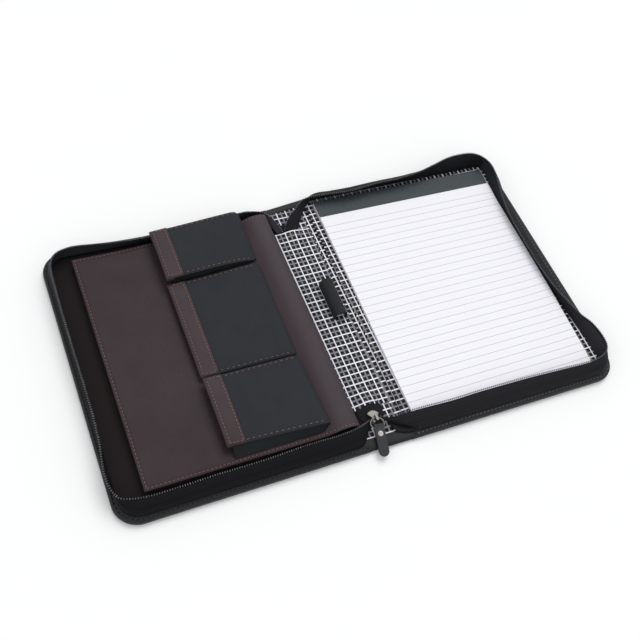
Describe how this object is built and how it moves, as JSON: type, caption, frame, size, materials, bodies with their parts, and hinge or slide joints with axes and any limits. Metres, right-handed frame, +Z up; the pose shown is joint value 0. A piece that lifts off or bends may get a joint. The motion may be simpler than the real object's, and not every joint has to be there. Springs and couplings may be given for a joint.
{
  "type": "zippered padfolio",
  "caption": "Zip-round writing folio lying open, with a tablet sleeve and pockets on one cover and a top-bound writing pad on the other.",
  "frame": {"origin": "on the table under the middle of the spine", "axes": "+X across the spine to the pad side, +Y up the page, +Z up from the table; the folio lies open and flat"},
  "size_m": [0.536, 0.3073, 0.0266],
  "materials": {
    "black_leather": "matte",
    "brown_leather": "satin",
    "stiff_board": "matte",
    "check_cloth": "matte",
    "dark_cloth": "matte",
    "twill_cloth": "matte",
    "zip_cloth": "matte",
    "nickel": "satin",
    "white_paper": "matte",
    "grey_board": "matte",
    "slate_tape": "satin",
    "elastic": "matte"
  },
  "bodies": {
    "right_half": {"right_outer_cover": "black_leather", "right_edge_welt": "black_leather", "right_board": "stiff_board", "right_gusset": "zip_cloth", "right_zip_tape": "zip_cloth", "right_zip_teeth": "nickel", "right_foot_zip_tail": "zip_cloth", "right_head_zip_tail": "zip_cloth", "right_lining": "check_cloth", "pad_slot_panel": "check_cloth"},
    "spine": {"spine_outer_cover": "black_leather", "spine_board": "stiff_board", "spine_lining": "check_cloth", "spine_strip": "check_cloth", "foot_zip_tab": "zip_cloth", "head_zip_tab": "zip_cloth", "pen_loop": "elastic", "left_fold_strip": "black_leather", "right_fold_strip": "black_leather"},
    "left_half": {"left_outer_cover": "black_leather", "left_edge_welt": "black_leather", "left_board": "stiff_board", "left_gusset": "zip_cloth", "left_zip_tape": "zip_cloth", "left_zip_teeth": "nickel", "left_foot_zip_tail": "zip_cloth", "left_head_zip_tail": "zip_cloth", "left_lining": "dark_cloth", "tablet_sleeve_panel": "brown_leather", "sleeve_foot_pleat": "brown_leather", "sleeve_head_pleat": "brown_leather", "foot_pocket_front": "twill_cloth", "foot_pocket_sides": "twill_cloth", "foot_pocket_trim": "brown_leather", "middle_pocket_front": "twill_cloth", "middle_pocket_sides": "twill_cloth", "middle_pocket_trim": "brown_leather", "head_pocket_front": "twill_cloth", "head_pocket_sides": "twill_cloth", "head_pocket_trim": "brown_leather"},
    "pad": {"pad_board": "grey_board", "pad_sheets": "white_paper", "pad_binding": "slate_tape"},
    "top_sheet": {"pad_top_sheet": "white_paper"},
    "slider": {"slider_body": "nickel", "slider_bridge": "nickel"},
    "ring": {"pull_ring": "nickel"},
    "tab": {"pull_tab": "black_leather", "pull_rivet": "nickel"}
  },
  "joints": [
    {"name": "spine_fold", "type": "hinge", "parent": "right_half", "child": "spine", "pos_m": [0.021, 0, 0], "axis": [0, 1, 0], "range_deg": [0, 90], "deforming": ["right_foot_zip_tail", "right_head_zip_tail", "right_fold_strip"]},
    {"name": "cover_fold", "type": "hinge", "parent": "spine", "child": "left_half", "pos_m": [-0.021, 0, 0], "axis": [0, 1, 0], "range_deg": [0, 90], "deforming": ["left_foot_zip_tail", "left_head_zip_tail", "left_fold_strip"]},
    {"name": "pad_slide", "type": "slide", "parent": "right_half", "child": "pad", "axis": [0, 1, 0], "range_m": [0, 0.006]},
    {"name": "sheet_turn", "type": "hinge", "parent": "pad", "child": "top_sheet", "pos_m": [0.139, 0.115, 0.0089], "axis": [1, 0, 0], "range_deg": [-130, 0]},
    {"name": "zip_slide", "type": "slide", "parent": "spine", "child": "slider", "axis": [0, 1, 0], "range_m": [-0.018, 0]},
    {"name": "ring_swing", "type": "hinge", "parent": "slider", "child": "ring", "pos_m": [-0.007, -0.1216, 0.0109], "axis": [1, 0, 0], "range_deg": [-120, 0]},
    {"name": "tab_swing", "type": "hinge", "parent": "ring", "child": "tab", "pos_m": [-0.007, -0.13239, 0.00938], "axis": [1, 0, 0], "range_deg": [-50, 0]}
  ]
}
